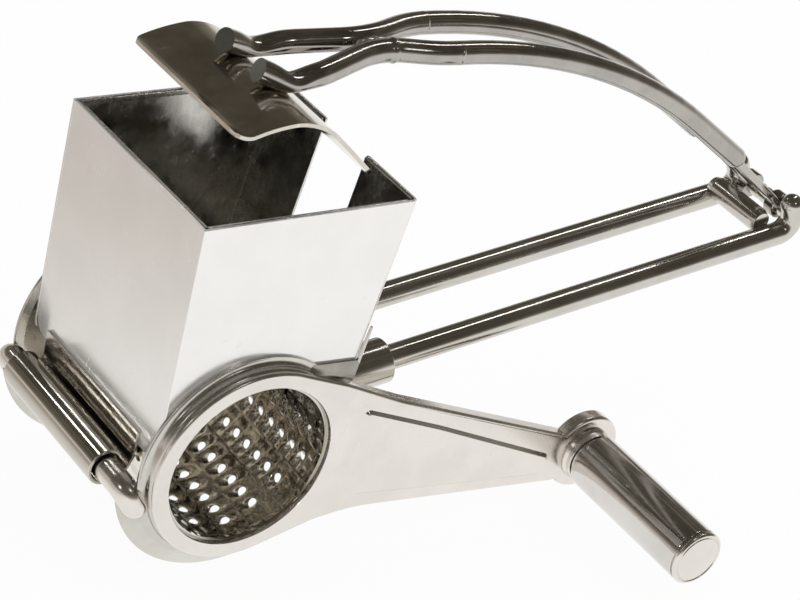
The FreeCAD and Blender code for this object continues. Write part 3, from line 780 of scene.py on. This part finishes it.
def hinge_strap(side, sign, skin):
    """Flattened strip from the arm tube down to its eye on the hinge bar."""
    from_tube, width = 4.2, 4.0
    eye_bore, eye_radius = 2.55, 3.9
    strip_start, strip_lap = 3.2, 6.2
    near = MIDDLE + sign * (SPREAD - from_tube)
    low, high = sorted((near, near - sign * width))
    shape = add_turned(bmesh.new(), flat([
        (eye_bore, low), (eye_radius, low, 0.5), (eye_radius, high, 0.5), (eye_bore, high),
    ]), HINGE, 48)
    hinge = Vector((HINGE[0], (low + high) / 2, HINGE[1]))
    bend, end = (Vector((x, 0, z)) for x, off, z, radius in ARM_PATH[-2:])
    tip = end + (bend - end).normalized() * strip_lap
    reach = Vector((tip.x - hinge.x, 0, tip.z - hinge.z))
    strip = bmesh.new()
    outline = flat([(-2.0, -1.2, 0.5), (2.0, -1.2, 0.5), (2.0, 1.25, 0.6), (1.0, 1.25, 0.4), (0.6, 0.5, 0.4),
                    (-0.6, 0.5, 0.4), (-1.0, 1.25, 0.4), (-2.0, 1.25, 0.6)], step=30)
    face = face_of(strip, [(u, v, strip_start) for u, v in outline])
    made = bmesh.ops.extrude_face_region(strip, geom=[face])
    bmesh.ops.translate(strip, verts=new_verts(made), vec=(0, 0, reach.length - strip_start))
    ahead = reach.normalized()
    across = Vector((0, 1, 0))
    turn = Matrix((across, ahead.cross(across), ahead)).transposed().to_4x4()
    bmesh.ops.transform(strip, matrix=Matrix.Translation(hinge) @ turn, verts=strip.verts[:])
    join(shape, strip)
    return piece(f"hinge_strap_{side}_eye", shape, "press_arm", skin, nodes=[f"hinge_strap_{side}"])


# ---------------------------------------------------------------- drum and crank

ROW_STARTS = [4.4, 3.3, 4.9, 5.7, 3.1, 3.2, 2.2, 4.4, 3.0, 5.2, 2.6, 4.8, 3.0, 5.4, 3.2, 5.6]
FIRST_ROW = -106.5
ROW_LENGTH = 10
PITCH = 5.2
HOLE = 1.45
TOOTH_RINGS = ((3.1, 2.15, -0.95), (2.25, 1.8, -0.5), (HOLE, HOLE, 0))
SCOOP_RISE = 1.15
SCOOP_SHIFT = 0.95
SCOOP_REACH = (3.0, 2.05)


def tooth_lift(across, along):
    """Outward push of the sheet round a tooth hole: a scoop behind the hole."""
    reach = math.hypot((across + SCOOP_SHIFT) / SCOOP_REACH[0], along / SCOOP_REACH[1])
    return SCOOP_RISE * max(0.0, 1 - reach * reach) ** 1.3


def tooth_strip(first, half):
    """One row of the drum laid flat: across x, along y, pushed up in z."""
    strip = bmesh.new()
    tile = bmesh.new()
    grid = bmesh.ops.create_grid(tile, x_segments=4, y_segments=4, size=1)
    bmesh.ops.scale(tile, vec=(half, PITCH / 2, 1), verts=grid["verts"])
    inner = [v for v in tile.verts if not v.is_boundary]
    bmesh.ops.delete(tile, geom=inner, context="VERTS")
    ring, shape_now = tile.edges[:], (half, PITCH / 2, 0)
    for wide, long, shift in TOOTH_RINGS:
        made = bmesh.ops.extrude_edge_only(tile, edges=ring)
        ring = new_edges(made)
        for vert in new_verts(made):
            angle = math.atan2(vert.co.y / shape_now[1], (vert.co.x - shape_now[2]) / shape_now[0])
            vert.co = Vector((shift + wide * math.cos(angle), long * math.sin(angle), 0))
        shape_now = (wide, long, shift)
    for vert in tile.verts:
        vert.co.z = tooth_lift(vert.co.x, vert.co.y)
    data = bpy.data.meshes.new("tooth")
    tile.to_mesh(data)
    tile.free()
    for step in range(ROW_LENGTH):
        data.transform(Matrix.Translation((0, first + PITCH * step, 0)))
        strip.from_mesh(data)
        data.transform(Matrix.Translation((0, -first - PITCH * step, 0)))
    bpy.data.meshes.remove(data)
    start, end = first - PITCH / 2, first + PITCH * (ROW_LENGTH - 0.5)
    for low, high in ((DRUM_ENDS[0], start), (end, DRUM_ENDS[1])):
        fill = bmesh.ops.create_grid(strip, x_segments=4, y_segments=2, size=1)
        bmesh.ops.scale(strip, vec=(half, (high - low) / 2, 1), verts=fill["verts"])
        bmesh.ops.translate(strip, vec=(0, (high + low) / 2, 0), verts=fill["verts"])
    bmesh.ops.remove_doubles(strip, verts=strip.verts[:], dist=1e-3)
    return strip


def drum_sheet(skin):
    """Drum shell with sixteen rows of raised scoop teeth, closed round the drum."""
    rows = len(ROW_STARTS)
    pitch = 2 * math.pi / rows
    seam_width = 0.9
    seam = seam_width / DRUM
    half = (pitch / 2 - seam / 2) * DRUM
    shape = bmesh.new()
    for number, first in enumerate(ROW_STARTS):
        strip = tooth_strip(first, half)
        middle = math.radians(FIRST_ROW) + number * pitch
        for vert in strip.verts:
            angle = middle + vert.co.x / DRUM
            radius = DRUM + vert.co.z
            vert.co = Vector((radius * math.cos(angle), vert.co.y, radius * math.sin(angle)))
        join(shape, strip)
    shape.verts.ensure_lookup_table()

    def side_edges(angle):
        direction = Vector((math.cos(angle), 0, math.sin(angle)))
        found = []
        for edge in shape.edges:
            if edge.is_boundary and all(
                    Vector((v.co.x, 0, v.co.z)).normalized().dot(direction) > 1 - 1e-7 for v in edge.verts):
                found.append(edge)
        return found

    sides = [[side_edges(math.radians(FIRST_ROW) + number * pitch + sign * half / DRUM) for sign in (-1, 1)]
             for number in range(rows)]
    for number in range(rows):
        bmesh.ops.bridge_loops(shape, edges=sides[number][1] + sides[(number + 1) % rows][0])
    bmesh.ops.recalc_face_normals(shape, faces=shape.faces[:])
    shape.normal_update()
    sample = min(shape.faces, key=lambda f: f.calc_center_median().y)
    centre = sample.calc_center_median()
    if sample.normal.dot(Vector((centre.x, 0, centre.z))) < 0:
        bmesh.ops.reverse_faces(shape, faces=shape.faces[:])
    return piece("drum_toothed_shell", shape, "drum", skin, ["drum_shell"], wall=DRUM_SHEET,
                 sharp=50)


def drum_ends(skin, drum_skin):
    """Neck ring in the collar, closed back and the axle."""
    shape = add_turned(bmesh.new(), flat([
        (NECK - 1.05, CRANK_FACE + 1.05), (NECK, CRANK_FACE + 1.05, 0.2), (NECK, -0.3), (DRUM + 0.02, -0.3),
        (DRUM + 0.02, -3.55), (DRUM - 0.5, -3.55), (DRUM - 0.5, -1.2), (DRUM - 0.68, -1.2),
        (DRUM - 0.68, -2.2, 0.8), (NECK - 1.1, -3.6, 0.5),
    ]), steps=128)
    piece("drum_neck_ring", shape, "drum", skin, nodes=["drum_neck"])
    end = DRUM_ENDS[1]
    shape = add_turned(bmesh.new(), flat([
        (3, end), (DRUM - 3, end), (DRUM - 1.5, end - 0.02), (DRUM, end), (DRUM, end + 1, 0.5),
        (10, end + 1, 2), (8, end + 0.6, 2), (3, end + 0.6),
    ]), steps=128)
    piece("drum_back_disc", shape, "drum", drum_skin, ["drum_back"])
    face = DEPTH - DISH_FACE
    shape = add_turned(bmesh.new(), flat([
        (0, end), (3, end), (3, end + 1), (6, end + 1), (6, end + 2.5, 0.4), (3, end + 2.5), (3, face + 1.5),
        (2.4, face + 2.1), (0, face + 2.1),
    ]), steps=48)
    piece("drum_axle_rod", shape, "drum", skin, nodes=["drum_axle"])


ARM_TOP = [(11.35, 25.49, 0), (25.0, 20.3, 20), (44.0, 11.6, 60), (106.5, -12.1, 0)]
ARM_BOTTOM = [(107.2, -27.6, 0), (36.0, -20.9, 60), (24.0, -22.3, 20), (7.69, -26.82, 0)]
PANEL = [
    (31.5, 12.2, 2), (58.8, 1.5, 0), (101.8, -17.0, 2.5), (101.5, -24.0, 2.5), (64.8, -20.0, 0),
    (31.5, -16.2, 2), (33.5, -3.0, 30),
]
PANEL_STEPS = ((0.25, 0.06), (0.45, 0.42), (0.45, 0.42), (0.25, 0.06))
MOUTH = DRUM + 0.7
MOUTH_STEPS = ((0.45, 0.12), (0.6, 0.4), (0.68, 1.0))
CRANK_RING = 27.9
CRANK_TIP = 11.5


def crank(skin):
    """Stamped crank: rounded turned-back edge, raised panel on the arm and a soft step round the mouth."""
    shape = bmesh.new()
    outline = flat(ARM_TOP, closed=False, step=3)
    outline += arc(GRIP, CRANK_TIP, 139, -134)[1:-1]
    outline += flat(ARM_BOTTOM, closed=False, step=3)
    outline += arc((0, 0), CRANK_RING, -74, -294, step=3)[1:-1]
    start = face_of(shape, [(u, CRANK_BACK, v) for u, v in outline])
    start.normal_update()
    if start.normal.y > 0:
        start.normal_flip()
    made = bmesh.ops.extrude_face_region(shape, geom=[start])
    top = next(item for item in made["geom"] if isinstance(item, bmesh.types.BMFace))
    soft = 1.1
    bmesh.ops.translate(shape, verts=new_verts(made), vec=(0, CRANK_FACE + soft - CRANK_BACK, 0))
    bmesh.ops.delete(shape, geom=[start], context="FACES_ONLY")
    turns = [math.radians(18 * number) for number in range(6)]
    shape.normal_update()
    for before, after in zip(turns, turns[1:]):
        bmesh.ops.inset_region(shape, faces=[top], use_boundary=True, use_even_offset=True,
                               thickness=soft * (math.cos(before) - math.cos(after)),
                               depth=soft * (math.sin(after) - math.sin(before)))
    border = list(top.edges)
    bmesh.ops.delete(shape, geom=[top], context="FACES_ONLY")
    mouth = ring_of(shape, [(u, CRANK_FACE, v) for u, v in arc((0, 0), MOUTH, 0, 357, step=3)])
    panel = face_of(shape, [(u, CRANK_FACE, v) for u, v in flat(PANEL, step=6)])
    panel.normal_update()
    if panel.normal.y > 0:
        panel.normal_flip()
    panel_edges = list(panel.edges)
    for across, up in PANEL_STEPS:
        bmesh.ops.inset_region(shape, faces=[panel], use_boundary=True, use_even_offset=True, thickness=across,
                               depth=up)
    panel_rise = sum(up for across, up in PANEL_STEPS)
    ring_edge, edge_from, edge_run = CRANK_FACE + 1.2, 16, 14
    ramp_x, ramp_run, ramp_z, ramp_drop, ramp_push = 42, 8, 10, 5, 2.6
    for vert in shape.verts:
        if vert.co.y > CRANK_BACK - 0.01:
            share = min(1.0, max(0.0, (vert.co.x - edge_from) / edge_run))
            vert.co.y = ring_edge + (CRANK_BACK - ring_edge) * share * share * (3 - 2 * share)
        raised = (CRANK_FACE - vert.co.y) / panel_rise
        if raised > 0.02 and vert.co.x < ramp_x and vert.co.z < ramp_z:
            fade = min(1.0, (ramp_x - vert.co.x) / ramp_run) * min(1.0, (ramp_z - vert.co.z) / ramp_drop)
            vert.co.x += ramp_push * raised * fade
    bmesh.ops.triangle_fill(shape, use_beauty=True, use_dissolve=False, edges=border + mouth + panel_edges)
    for inward, back in MOUTH_STEPS:
        made = bmesh.ops.extrude_edge_only(shape, edges=mouth)
        mouth = new_edges(made)
        for vert in new_verts(made):
            radial = Vector((vert.co.x, 0, vert.co.z)).normalized() * (MOUTH - inward)
            vert.co = Vector((radial.x, CRANK_FACE + back, radial.z))
    facing(shape, (0, -1, 0))
    return piece("crank_plate_stamped", shape, "drum", skin, nodes=["crank_plate"], wall=0.95, sharp=28)


def grip(skin, polish, inner):
    """Boss, pin, liner, sleeve and the end cap with its pressed groove."""
    start, end = -9.3, -56.0
    wall, pin = 0.75, 3
    shape = add_turned(bmesh.new(), flat([
        (pin, CRANK_FACE), (8.4, CRANK_FACE, 0.5), (7.7, CRANK_FACE - 1.6, 1), (7.5, start + 1.1, 0.3),
        (6.7, start + 1.0, 0.2), (6.7, start + 0.3), (pin, start + 0.3),
    ]), GRIP, 72)
    piece("grip_boss_ring", shape, "drum", skin, nodes=["grip_boss"])
    back = CRANK_FACE + 1
    shape = add_turned(bmesh.new(), flat([
        (0, end + 4.5), (5.4, end + 4.5), (5.4, end + 6), (pin, end + 6), (pin, back), (5.1, back, 0.4),
        (4.2, back + 1.8, 0.8), (0, back + 1.8),
    ]), GRIP, 48)
    piece("grip_pin_rivet", shape, "drum", skin, nodes=["grip_pin"])
    shape = add_turned(bmesh.new(), flat([
        (3.05, end + 6.3), (GRIP_RADIUS - wall, end + 6.3), (GRIP_RADIUS - wall, start), (3.05, start),
    ]), GRIP, 48)
    piece("grip_liner_tube", shape, "grip", inner, ["grip_core"])
    shape = add_turned(bmesh.new(), flat([
        (GRIP_RADIUS - wall, end + 1.7), (GRIP_RADIUS - 0.12, end + 1.7, 0.15), (GRIP_RADIUS, end + 2.0, 0.2),
        (GRIP_RADIUS, start - 0.4, 0.3), (GRIP_RADIUS - wall, start, 0.2),
    ]), GRIP, 96)
    piece("grip_sleeve_tube", shape, "grip", polish, nodes=["grip_sleeve"])
    shape = add_turned(bmesh.new(), flat([
        (0, end), (GRIP_RADIUS - 1.5, end, 0.1), (GRIP_RADIUS - 1.35, end + 0.25, 0.1),
        (GRIP_RADIUS - 1.05, end + 0.25, 0.1), (GRIP_RADIUS - 0.9, end, 0.1), (GRIP_RADIUS - 0.5, end, 0.3),
        (GRIP_RADIUS, end + 0.5, 0.3), (GRIP_RADIUS, end + 1.0, 0.1),
        (GRIP_RADIUS - wall, end + 1.0), (GRIP_RADIUS - wall, end + 2.5), (0, end + 2.5),
    ]), GRIP, 96)
    piece("grip_cap_disc", shape, "grip", skin, nodes=["grip_cap"])


# ---------------------------------------------------------------- studio


def studio():
    """White surroundings, a pale floor that keeps the shadow, a ceiling that mirrors dark and soft lamps."""
    world = bpy.data.worlds.new("studio")
    bpy.context.scene.world = world
    world.use_nodes = True
    shader = Shader(world.node_tree)
    direction = shader.node("ShaderNodeTexCoord", {}, {}, "Generated")
    height = shader.node("ShaderNodeSeparateXYZ", {}, {"Vector": direction}, 2)
    ceiling = shader.node("ShaderNodeValToRGB", {"stops": [
        (0.0, (0.95, 0.94, 0.92)), (0.05, (0.7, 0.68, 0.65)), (0.16, (0.20, 0.18, 0.155)),
        (0.4, (0.075, 0.066, 0.052)), (1.0, (0.06, 0.052, 0.04)),
    ]}, {"Fac": height})
    clouds = shader.node("ShaderNodeTexNoise", {}, {"Vector": direction, "Scale": 5, "Detail": 3,
                                                    "Roughness": 0.6})
    cloudy = clouds.between(0.52, 0.72) * height.between(0.15, 0.5) * 0.6
    warm = shader.mixed(cloudy, ceiling, (0.30, 0.28, 0.19))
    seen = shader.node("ShaderNodeLightPath", {}, {}, "Is Camera Ray")
    glossy = shader.node("ShaderNodeLightPath", {}, {}, "Is Glossy Ray")
    tone = shader.mixed(glossy, (0.8, 0.8, 0.8), warm)
    tone = shader.mixed(seen, tone, (1.0, 1.0, 1.0))
    light = shader.node("ShaderNodeBackground", {}, {"Color": tone, "Strength": 1.0})
    shader.node("ShaderNodeOutputWorld", {}, {"Surface": light})

    floor_size, floor_gap = 6, 0.1
    bpy.ops.mesh.primitive_plane_add(size=floor_size, location=(0, 0, (FLOOR - floor_gap) * MM))
    floor = bpy.context.object
    floor.name = "studio_floor"
    made = bpy.data.materials.new("studio_floor")
    made.use_nodes = True
    shader = Shader(made.node_tree)
    place = shader.node("ShaderNodeTexCoord", {}, {}, "Object")
    x = shader.node("ShaderNodeSeparateXYZ", {}, {"Vector": place}, 0)
    y = shader.node("ShaderNodeSeparateXYZ", {}, {"Vector": place}, 1)
    paper = shader.mixed((y - x).between(0.0, 0.35), (1.0, 1.0, 0.99), (0.49, 0.435, 0.385))
    matte = shader.node("ShaderNodeBsdfDiffuse", {}, {"Color": (0.9, 0.9, 0.9, 1)})
    white = shader.node("ShaderNodeEmission", {}, {"Color": (1, 1, 1, 1), "Strength": 1.0})
    mirrored = shader.node("ShaderNodeEmission", {}, {"Color": paper, "Strength": 1.0})
    seen = shader.node("ShaderNodeLightPath", {}, {}, "Is Camera Ray")
    glossy = shader.node("ShaderNodeLightPath", {}, {}, "Is Glossy Ray")
    base = shader.node("ShaderNodeMixShader", {}, {0: seen * 0.95, 1: matte, 2: white})
    mixed = shader.node("ShaderNodeMixShader", {}, {0: glossy, 1: base, 2: mirrored})
    shader.node("ShaderNodeOutputMaterial", {}, {"Surface": mixed})
    floor.data.materials.append(made)

    for name, place, aim, width, depth, power in (
        ("lamp_over", (0.68, 0.27, 0.85), (0.10, 0.03, 0.03), 0.035, 0.60, 0.80),
        ("lamp_back_left", (-0.35, 0.85, 0.85), (0, 0.03, 0), 0.07, 0.07, 0.25),
        ("lamp_left", (-0.9, -0.3, 0.6), (0, 0.03, 0.03), 0.09, 0.09, 0.30),
        ("lamp_front", (0.2, -0.9, 0.9), (0.1, 0, 0.02), 0.12, 0.09, 0.30),
    ):
        data = bpy.data.lights.new(name, "AREA")
        data.shape = "RECTANGLE"
        data.size, data.size_y = width, depth
        data.energy = power
        lamp = bpy.data.objects.new(name, data)
        lamp.location = place
        lamp.rotation_euler = (Vector(aim) - Vector(place)).to_track_quat("-Z", "Y").to_euler()
        bpy.context.scene.collection.objects.link(lamp)


# ---------------------------------------------------------------- the grater


camera()
studio()

hopper_skin = steel("hopper_sheet", (0.96, 0.94, 0.915), 0.17, (1, 1, 0.05), wear=0.06, grain_lift=0.10,
                    dull=0.96, worn_edges=False, metallic=0.68)
# Darker copy of the hopper sheet for its inner faces and its hem: painted shade inside the hopper.
hopper_inside_painted_shade = steel("hopper_inside_painted_shade", (0.80, 0.785, 0.735), 0.20, (1, 1, 0.2), wear=0.16, grain_lift=0.10,
                      dull=0.6, smudge_scale=110, worn_edges=False)
dish_skin = steel("dish_steel", (0.70, 0.675, 0.625), 0.22, (1, 1, 1), wear=0.12, grain_lift=0.14, dull=0.85,
                  pits=0.2, worn_edges=False)
# Darker copy of the collar steel for the webs: painted shade in the hollow between dish and wall.
web_painted_shade_skin = steel("web_satin_painted_shade", (0.46, 0.435, 0.39), 0.26, (1, 1, 1), wear=0.12, grain_lift=0.2, dull=0.7,
                 pits=0.3, worn_edges=False)
crank_skin = steel("crank_satin", (0.82, 0.78, 0.73), 0.21, (1, 1, 1), wear=0.10, grain_lift=0.12, dull=0.92,
                   pits=0.2, worn_edges=False)
tube_skin = steel("tube_polish", (0.63, 0.605, 0.56), 0.16, (0.05, 1, 1), wear=0.06, grain_lift=0.08)
plate_skin = steel("plate_polish", (0.74, 0.70, 0.62), 0.13, (1, 0.05, 1), wear=0.08, grain_lift=0.10,
                   dull=0.8)
sleeve_skin = steel("sleeve_polish", (0.66, 0.63, 0.575), 0.12, (1, 0.05, 1), wear=0.07, grain_lift=0.09)
grip_skin = steel("grip_polish", (0.70, 0.67, 0.64), 0.115, (1, 0.05, 1), wear=0.06, grain_lift=0.09)
drum_skin = steel("drum_bright", (0.76, 0.73, 0.665), 0.06, (1, 0.2, 1), wear=0.04, grain_lift=0.02,
                  dull=0.85)
arm_skin = steel("arm_polish", (0.47, 0.445, 0.415), 0.15, (0.05, 1, 1), wear=0.10, grain_lift=0.10,
                 dull=0.82, pits=0.1)
# Near-black steel for the arm tubes' end caps: painted shade standing for their hollow ends.
cut_end_painted_shade = steel("cut_tip_painted_shade", (0.13, 0.13, 0.115), 0.34, (1, 1, 1), wear=0.10, grain_lift=0.3, pits=0.3)
weld_skin = steel("weld_bead", (0.70, 0.67, 0.63), 0.30, (1, 1, 1), wear=0.14, grain_lift=0.4, pits=1.0)

hopper(hopper_skin, hopper_inside_painted_shade)
hopper_side(hopper_skin, hopper_inside_painted_shade)
# The hem takes the darker inner steel: painted shade.
rim_hem(hopper_inside_painted_shade)
collar("front_collar", True, NECK + 0.05, -0.4, dish_skin, web_painted_shade_skin)
collar("rear_collar", False, 5.5, SHEET + DISH_FACE, dish_skin, web_painted_shade_skin)
bush(sleeve_skin)
side_rod(crank_skin)
rolled_sleeve(sleeve_skin)
sleeve_leaf(sleeve_skin)
for side, sign in (("front", -1), ("rear", 1)):
    handle_tube(side, MIDDLE + sign * SPREAD, tube_skin)
    ferrule(side, MIDDLE + sign * SPREAD, tube_skin)
    arm_tube(side, sign, arm_skin, cut_end_painted_shade)
    hinge_strap(side, sign, arm_skin)
hinge_parts(tube_skin)
arm_weld(weld_skin)
bowed_plate(plate_skin)
drum_sheet(drum_skin)
drum_ends(sleeve_skin, drum_skin)
crank(crank_skin)
grip(crank_skin, grip_skin, liner())
